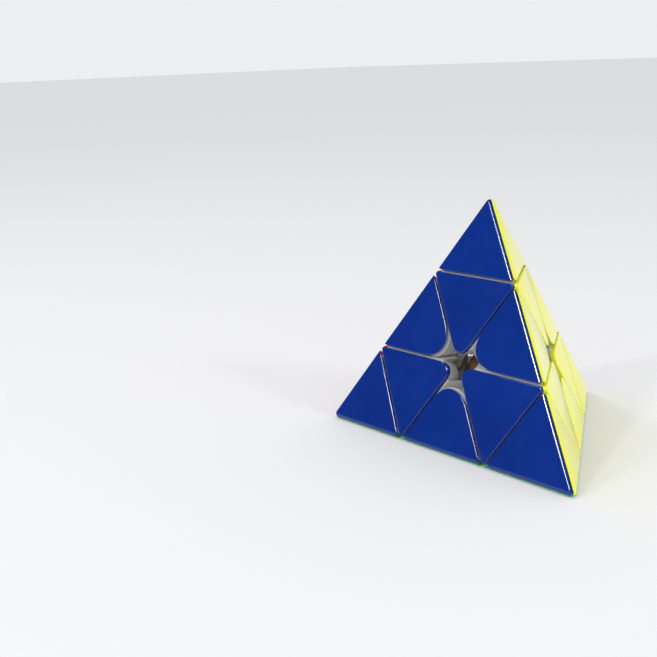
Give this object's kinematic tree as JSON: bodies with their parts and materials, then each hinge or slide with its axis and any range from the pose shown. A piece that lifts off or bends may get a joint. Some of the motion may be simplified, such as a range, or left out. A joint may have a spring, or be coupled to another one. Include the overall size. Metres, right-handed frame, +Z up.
{
  "type": "pyramid twisty puzzle",
  "caption": "Pyramid-shaped twisty puzzle with turning corner layers and tips, coloured triangular caps on grey frames, and sprung screws on an inner core.",
  "frame": {"origin": "middle of the core, where the four turning axes meet", "axes": "+Z up along the top tip's turning axis, the green face lies flat at the bottom; -Y out over the blue face"},
  "size_m": [0.0976, 0.0851, 0.0798],
  "materials": {
    "green": "glossy moulded green plastic",
    "red": "glossy moulded red plastic",
    "blue": "glossy moulded deep blue plastic",
    "yellow": "glossy moulded bright yellow plastic",
    "frame_grey": "satin light warm-grey moulded plastic",
    "core_plastic": "dark warm-brown moulded plastic",
    "steel": "bright plated screw steel",
    "spring_steel": "bright spring wire",
    "dial_plastic": "white moulded plastic",
    "magnet": "nickel-plated magnet discs"
  },
  "bodies": {
    "core": {"core": "core_plastic", "tension_screws": "steel", "tension_springs": "spring_steel", "tension_dials": "dial_plastic"},
    "corner_top": {"corner_frame_top": "frame_grey", "corner_cap_top_red": "red", "corner_cap_top_blue": "blue", "corner_cap_top_yellow": "yellow"},
    "tip_top": {"tip_frame_top": "frame_grey", "tip_cap_top_red": "red", "tip_cap_top_blue": "blue", "tip_cap_top_yellow": "yellow"},
    "corner_right": {"corner_frame_right": "frame_grey", "corner_cap_right_green": "green", "corner_cap_right_blue": "blue", "corner_cap_right_yellow": "yellow"},
    "tip_right": {"tip_frame_right": "frame_grey", "tip_cap_right_green": "green", "tip_cap_right_blue": "blue", "tip_cap_right_yellow": "yellow"},
    "corner_back": {"corner_frame_back": "frame_grey", "corner_cap_back_green": "green", "corner_cap_back_red": "red", "corner_cap_back_yellow": "yellow"},
    "tip_back": {"tip_frame_back": "frame_grey", "tip_cap_back_green": "green", "tip_cap_back_red": "red", "tip_cap_back_yellow": "yellow"},
    "corner_left": {"corner_frame_left": "frame_grey", "corner_cap_left_green": "green", "corner_cap_left_red": "red", "corner_cap_left_blue": "blue"},
    "tip_left": {"tip_frame_left": "frame_grey", "tip_cap_left_green": "green", "tip_cap_left_red": "red", "tip_cap_left_blue": "blue"},
    "edge_top_right": {"edge_frame_top_right": "frame_grey", "edge_magnets_top_right": "magnet", "edge_cap_top_right_blue": "blue", "edge_cap_top_right_yellow": "yellow"},
    "edge_top_back": {"edge_frame_top_back": "frame_grey", "edge_magnets_top_back": "magnet", "edge_cap_top_back_red": "red", "edge_cap_top_back_yellow": "yellow"},
    "edge_top_left": {"edge_frame_top_left": "frame_grey", "edge_magnets_top_left": "magnet", "edge_cap_top_left_red": "red", "edge_cap_top_left_blue": "blue"},
    "edge_right_back": {"edge_frame_right_back": "frame_grey", "edge_magnets_right_back": "magnet", "edge_cap_right_back_green": "green", "edge_cap_right_back_yellow": "yellow"},
    "edge_back_left": {"edge_frame_back_left": "frame_grey", "edge_magnets_back_left": "magnet", "edge_cap_back_left_green": "green", "edge_cap_back_left_red": "red"},
    "edge_left_right": {"edge_frame_left_right": "frame_grey", "edge_magnets_left_right": "magnet", "edge_cap_left_right_green": "green", "edge_cap_left_right_blue": "blue"}
  },
  "joints": [
    {"name": "layer_top", "type": "hinge", "parent": "core", "child": "corner_top", "pos_m": [0, 0, 0], "axis": [0, 0, 1], "range_deg": [-240, 120]},
    {"name": "layer_right", "type": "hinge", "parent": "core", "child": "corner_right", "pos_m": [0, 0, 0], "axis": [0.8165, -0.4714, -0.3333], "range_deg": [-240, 120]},
    {"name": "layer_back", "type": "hinge", "parent": "core", "child": "corner_back", "pos_m": [0, 0, 0], "axis": [0, 0.9428, -0.3333], "range_deg": [-240, 120]},
    {"name": "layer_left", "type": "hinge", "parent": "core", "child": "corner_left", "pos_m": [0, 0, 0], "axis": [-0.8165, -0.4714, -0.3333], "range_deg": [-240, 120]},
    {"name": "tip_turn_top", "type": "hinge", "parent": "corner_top", "child": "tip_top", "pos_m": [0, 0, 0], "axis": [0, 0, 1], "continuous": true},
    {"name": "tip_turn_right", "type": "hinge", "parent": "corner_right", "child": "tip_right", "pos_m": [0, 0, 0], "axis": [0.8165, -0.4714, -0.3333], "continuous": true},
    {"name": "tip_turn_back", "type": "hinge", "parent": "corner_back", "child": "tip_back", "pos_m": [0, 0, 0], "axis": [0, 0.9428, -0.3333], "continuous": true},
    {"name": "tip_turn_left", "type": "hinge", "parent": "corner_left", "child": "tip_left", "pos_m": [0, 0, 0], "axis": [-0.8165, -0.4714, -0.3333], "continuous": true},
    {"name": "edge_turn_top_right", "type": "hinge", "parent": "corner_top", "child": "edge_top_right", "pos_m": [0, 0, 0], "axis": [0.8165, -0.4714, -0.3333], "range_deg": [-240, 120]},
    {"name": "edge_turn_top_back", "type": "hinge", "parent": "corner_top", "child": "edge_top_back", "pos_m": [0, 0, 0], "axis": [0, 0.9428, -0.3333], "range_deg": [-240, 120]},
    {"name": "edge_turn_top_left", "type": "hinge", "parent": "corner_top", "child": "edge_top_left", "pos_m": [0, 0, 0], "axis": [-0.8165, -0.4714, -0.3333], "range_deg": [-240, 120]},
    {"name": "edge_turn_right_back", "type": "hinge", "parent": "corner_right", "child": "edge_right_back", "pos_m": [0, 0, 0], "axis": [0, 0.9428, -0.3333], "range_deg": [-240, 120]},
    {"name": "edge_turn_back_left", "type": "hinge", "parent": "corner_back", "child": "edge_back_left", "pos_m": [0, 0, 0], "axis": [-0.8165, -0.4714, -0.3333], "range_deg": [-240, 120]},
    {"name": "edge_turn_left_right", "type": "hinge", "parent": "corner_left", "child": "edge_left_right", "pos_m": [0, 0, 0], "axis": [0.8165, -0.4714, -0.3333], "range_deg": [-240, 120]}
  ],
  "couplings": [
    {"joint": "edge_turn_top_right", "follows": "layer_right", "ratio": 1},
    {"joint": "edge_turn_top_back", "follows": "layer_back", "ratio": 1},
    {"joint": "edge_turn_top_left", "follows": "layer_left", "ratio": 1},
    {"joint": "edge_turn_right_back", "follows": "layer_back", "ratio": 1},
    {"joint": "edge_turn_back_left", "follows": "layer_left", "ratio": 1},
    {"joint": "edge_turn_left_right", "follows": "layer_right", "ratio": 1}
  ]
}
